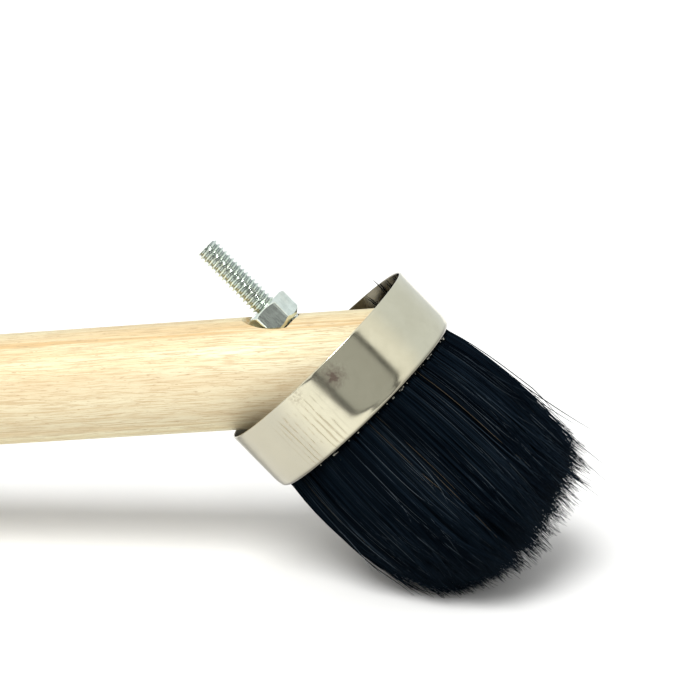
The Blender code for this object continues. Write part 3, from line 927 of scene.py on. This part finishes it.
def bundle_place(u, v, depth):
    """Where a bristle is at a depth below the rim; u and v are its place across the unit disc of roots."""
    free = np.maximum(depth - FERRULE_HEIGHT - GAP, 0.0)
    fade = 1.0 - np.exp(-free / SPLAY_LENGTH)
    top = ROOT_RADIUS + UPPER_SPLAY * fade
    bottom = -ROOT_RADIUS - LOWER_SPLAY * free
    x = (top + bottom) / 2 + u * (top - bottom) / 2 + LOWER_BEND * free**2 * ((1.0 - u) / 2) ** 2
    y = v * (ROOT_RADIUS + SIDE_SPLAY * fade)
    return np.stack([x, y, -depth], axis=-1)


def tip_depth(u, v):
    """Depth of the bundle's crowned, round-edged end at a place across it, kept clear of the table."""
    place = bundle_place(u, v, np.full_like(u, BUNDLE_END))
    crown = ((place[..., 0] - TIP_CROWN_OFFSET) ** 2 + place[..., 1] ** 2) / (2 * TIP_CROWN_RADIUS)
    edge = np.clip((np.hypot(u, v) - 1.0 + CORNER_INSET) / CORNER_INSET, 0.0, 1.0)
    corner = CORNER_SHARE * (BUNDLE_END + RESIN_BOTTOM) * (1.0 - np.sqrt(1.0 - edge**2))
    lower_sides = np.clip(-u, 0.0, 1.0) * place[..., 1] ** 2 / (2 * LOWER_SIDE_RADIUS)
    depth = BUNDLE_END - crown - corner - lower_sides
    above_table = to_world(bundle_place(u, v, depth))[..., 2]
    return depth - np.maximum(TIP_CLEARANCE - above_table, 0.0) / AXIS.z


def hair_lines(random, u, v, root, tip, lean, points):
    """Lines of hairs, each with a slight wave of its own, that lean sideways near their tips.

    u and v hold two columns: the place of a hair's tuft and the hair's offset from it.
    """
    hairs = len(u)
    share = np.linspace(0.0, 1.0, points)[None, :]
    depth = root[:, None] + (tip - root)[:, None] * share
    closing = np.clip((share - CLOSING_START) / (1.0 - CLOSING_START), 0.0, 1.0)
    pull = 1.0 - TUFT_CLOSE * closing**1.2
    place = bundle_place(u[:, 0:1] + u[:, 1:2] * pull, v[:, 0:1] + v[:, 1:2] * pull, depth)
    wave = random.normal(0.0, HAIR_WAVE, (hairs, 2))
    phase = random.uniform(0.0, 2 * math.pi, (hairs, 2))
    turns = random.uniform(0.5, 1.3, (hairs, 1))
    swing = np.sin(2 * math.pi * turns[:, :, None] * share[:, :, None] + phase[:, None]) * wave[:, None]
    across = random.normal(0.0, HAIR_WANDER, (hairs, 2))
    leaning = lean[:, None, :] * (share**6.0)[:, :, None]
    place[..., :2] += (swing + across[:, None, :]) * share[:, :, None] + leaning
    return place


def disc_places(random, count):
    """Places spread evenly over the unit disc, each nudged a little."""
    step = np.arange(count) + 0.5
    radius = np.sqrt(step / count)
    angle = step * GOLDEN_ANGLE
    nudge = random.normal(0.0, 0.25 / math.sqrt(count), (2, count))
    return radius * np.cos(angle) + nudge[0], radius * np.sin(angle) + nudge[1]


def hair_radii(random, count, points):
    """Hair radii, even along most of a hair and tapering to its tip."""
    share = np.linspace(0.0, 1.0, points)[None, :]
    taper = 1.0 - 0.7 * np.clip((share - 0.72) / 0.28, 0.0, 1.0) ** 1.4
    return HAIR_RADIUS * random.uniform(0.8, 1.2, (count, 1)) * taper


def tufted_hairs(random):
    """All the bundle's dark hairs, whose tips gather into small pointed tufts of uneven length."""
    centre_u, centre_v = disc_places(random, TUFTS)
    spread = TUFT_SPREAD / math.sqrt(TUFTS)
    count = TUFTS * HAIRS_IN_TUFT
    tuft = np.repeat(np.arange(TUFTS), HAIRS_IN_TUFT)
    off = random.normal(0.0, spread, (2, count))
    over = np.maximum(np.hypot(centre_u[tuft] + off[0], centre_v[tuft] + off[1]), 1.0)
    u = np.stack([centre_u[tuft] / over, off[0] / over], axis=1)
    v = np.stack([centre_v[tuft] / over, off[1] / over], axis=1)
    mean, most, less = TUFT_LENGTHS
    uneven = np.minimum(random.exponential(mean, TUFTS), most) - less
    uneven *= np.clip(1.0 + centre_u, 0.1, 1.0)
    short = np.abs(random.normal(0.0, SHORTER_HAIRS, count))
    tip = tip_depth(u.sum(1), v.sum(1)) + uneven[tuft] - short + LONGER_TIPS
    tuft_lean = random.normal(0.0, TUFT_LEAN, (TUFTS, 2))
    lean = tuft_lean[tuft] + random.normal(0.0, HAIR_LEAN, (count, 2))
    lean[:, 1] *= 1.0 - 0.8 * centre_v[tuft] ** 2
    lines = hair_lines(random, u, v, np.full(count, HAIR_ROOT), tip, lean, HAIR_POINTS)
    return lines, hair_radii(random, count, HAIR_POINTS)


def fine_hairs(random, count):
    """Thinner single hairs of uneven length in the bundle's outer layer."""
    angle = random.uniform(0.0, 2 * math.pi, count)
    radius = random.uniform(0.93, 1.0, count)
    u = np.stack([radius * np.cos(angle), np.zeros(count)], axis=1)
    v = np.stack([radius * np.sin(angle), np.zeros(count)], axis=1)
    tip = tip_depth(u[:, 0] * 0.97, v[:, 0] * 0.97) - random.uniform(0.0, FINE_SHORTER, count)
    lean = random.normal(0.0, FINE_LEAN, (count, 2))
    lines = hair_lines(random, u, v, np.full(count, HAIR_ROOT), tip, lean, HAIR_POINTS)
    return lines, 0.5 * hair_radii(random, count, HAIR_POINTS)


def stray_hairs(random):
    """Single hairs that curve away from the bundle's side."""
    share = np.linspace(0.0, 1.0, HAIR_POINTS)
    lines = []
    for degrees, depth, lean in STRAYS:
        angle = math.radians(degrees)
        out = np.array([math.cos(angle), math.sin(angle), 0.0])
        depths = HAIR_ROOT + (depth * MM - HAIR_ROOT) * share
        line = bundle_place(0.98 * out[0], 0.98 * out[1], depths)
        sideways = np.array([-out[1], out[0], 0.0]) * random.normal(0.0, 1.5 * MM)
        line += (out * lean * MM)[None, :] * (share**2.4)[:, None]
        line += sideways[None, :] * (share**2)[:, None]
        lines.append(line)
    return np.array(lines), 1.2 * hair_radii(random, len(STRAYS), HAIR_POINTS)


def wall_hairs(random):
    """Loose hairs that lie on the inside of the ferrule, above the resin."""
    share = np.linspace(0.0, 1.0, HAIR_POINTS)
    radius = FERRULE_RADIUS - FERRULE_SHEET - 2.5 * HAIR_RADIUS
    lines = []
    for degrees, top, lean in WALL_HAIRS:
        angle = np.radians(degrees - lean * (1 - share) + 0.5 * np.sin(7 * share))
        heights = RESIN_TOP + (top * MM - RESIN_TOP) * share
        lines.append(np.stack([radius * np.cos(angle), radius * np.sin(angle), heights], axis=1))
    return np.array(lines), 1.7 * hair_radii(random, len(WALL_HAIRS), HAIR_POINTS)


def add_hairs(name, lines, radii, look):
    """Adds hairs as tubes. Where they reach the table they are pressed flat on it."""
    world = to_world(lines)
    world[..., 2] = np.maximum(world[..., 2], radii + TABLE_GAP)
    mesh = tube_mesh(name, world, radii)
    return add_piece(name, mesh, "head", look, Matrix.Identity(4))


def add_bristles():
    """The bundle's hairs, shared between a few tones so that single ones stand out, the lighter tones partly a
    painted highlight along single hairs, and the odd hairs.
    """
    random = np.random.default_rng(11)
    looks = {tone: hair_material(f"{tone}_bristle", *ends) for tone, ends in HAIR_COLOURS.items()}
    lines, radii = tufted_hairs(random)
    for part, tone in enumerate(HAIR_TONES):
        chosen = slice(part, None, len(HAIR_TONES))
        hairs = add_hairs(f"bristles_{part + 1}", lines[chosen], radii[chosen], looks[tone])
        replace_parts(hairs, "bristle_bundle")
    add_hairs("tan_bristles", *fine_hairs(random, TAN_HAIRS), looks["tan"])
    # painted highlight: the pale fine hairs stand in for fine highlight streaks along the outer hairs
    add_hairs("fine_bristles", *fine_hairs(random, FINE_HAIRS), looks["pale"])
    add_hairs("stray_bristles", *stray_hairs(random), looks["black"])
    add_hairs("wall_bristles", *wall_hairs(random), looks["black"])


# Floor and light

FLOOR_FRONT = -0.5
FLOOR_REACH = 8.0
FRONT = Vector((0.0, -1.0, 0.0))
UP = Vector((0.0, 0.0, 1.0))
SUN_DIRECTION = Vector((-0.12, -0.61, 0.78))
SUN_WIDTH = math.radians(28)
SUN_STRENGTH = 2.9
PATCH_DIRECTION = Vector((0.42, -0.86, 0.26)).normalized()
PATCH_EDGE = math.cos(math.radians(31))
PATCH_GREY = (0.465, 0.475, 0.465)
PATCH_RIM = (0.04, 0.04, 0.04)
ROOM_FRONT, ROOM_BACK = (1.06, 1.06, 1.03), (0.81, 0.85, 0.88)
ROOM_BELOW = (0.12, 0.12, 0.12)
SOFT_FRONT, SOFT_BACK = (0.96, 0.96, 0.955), (0.42, 0.42, 0.415)
WHITE = (1.0, 1.0, 1.0)


def add_floor(look):
    """The table's sheet, which ends a little in front of the brush, where the dark room begins."""
    mesh = bpy.data.meshes.new("floor")
    front, reach = FLOOR_FRONT, FLOOR_REACH
    corners = [(-reach, front, 0.0), (reach, front, 0.0), (reach, reach, 0.0), (-reach, reach, 0.0)]
    mesh.from_pydata(corners, [], [(0, 1, 2, 3)])
    floor = bpy.data.objects.new("floor", mesh)
    bpy.context.scene.collection.objects.link(floor)
    mesh.materials.append(look)


def add_sun():
    """A wide soft light from above, in front and a little to the left."""
    light = bpy.data.lights.new("key_light", "SUN")
    light.angle = SUN_WIDTH
    light.energy = SUN_STRENGTH
    lamp = bpy.data.objects.new("key_light", light)
    bpy.context.scene.collection.objects.link(lamp)
    lamp.rotation_mode = "QUATERNION"
    lamp.rotation_quaternion = SUN_DIRECTION.to_track_quat("Z", "Y")


def room_seen_by_metal(n, towards):
    """White in front, greyer behind, dark below the table; in front a round grey patch with a black edge."""
    room = n.mix(n.span(n.dot(towards, FRONT), -0.2, 0.3), ROOM_BACK, ROOM_FRONT)
    facing = n.dot(towards, PATCH_DIRECTION)
    within = n.span(facing, PATCH_EDGE + 0.03, PATCH_EDGE + 0.06)
    patch = n.mix(within, PATCH_RIM, PATCH_GREY)
    above = n.mix(n.span(facing, PATCH_EDGE - 0.01, PATCH_EDGE), room, patch)
    return n.mix(n.span(n.dot(towards, UP), -0.03, -0.01), ROOM_BELOW, above)


def add_world():
    """White to look at, soft light mostly from the front for matt surfaces and a plain room for metal."""
    world = bpy.data.worlds.new("studio")
    bpy.context.scene.world = world
    n = Nodes(world)
    path = n.add("LightPath").outputs
    towards = n.add("TexCoord").outputs["Generated"]
    soft = n.mix(n.span(n.dot(towards, FRONT), -0.6, 0.6), SOFT_BACK, SOFT_FRONT)
    lit = n.mix(path["Is Glossy Ray"], soft, room_seen_by_metal(n, towards))
    n.put(n.tree.nodes["Background"].inputs["Color"], n.mix(path["Is Camera Ray"], lit, WHITE))


def dress_hidden_nodes(plug_wood, zinc):
    """The pieces inside the head keep their CAD shape and get a finished material."""
    for node, look in (("core_plug", plug_wood), ("bolt_washer", zinc)):
        for slot in frame["nodes"][node].material_slots:
            slot.link = "OBJECT"
            slot.material = look


bpy.context.scene.view_settings.view_transform = "Standard"
add_camera()
add_world()
add_sun()

zinc = zinc_material()
add_ferrule(steel_material())
add_resin(resin_material())
add_flecks(fleck_material())
add_bolt(zinc)
add_nut(zinc)
add_lock_washer(zinc)
add_handle(birch_material())
dress_hidden_nodes(plug_wood_material(), zinc)
add_bristles()
add_floor(floor_material())
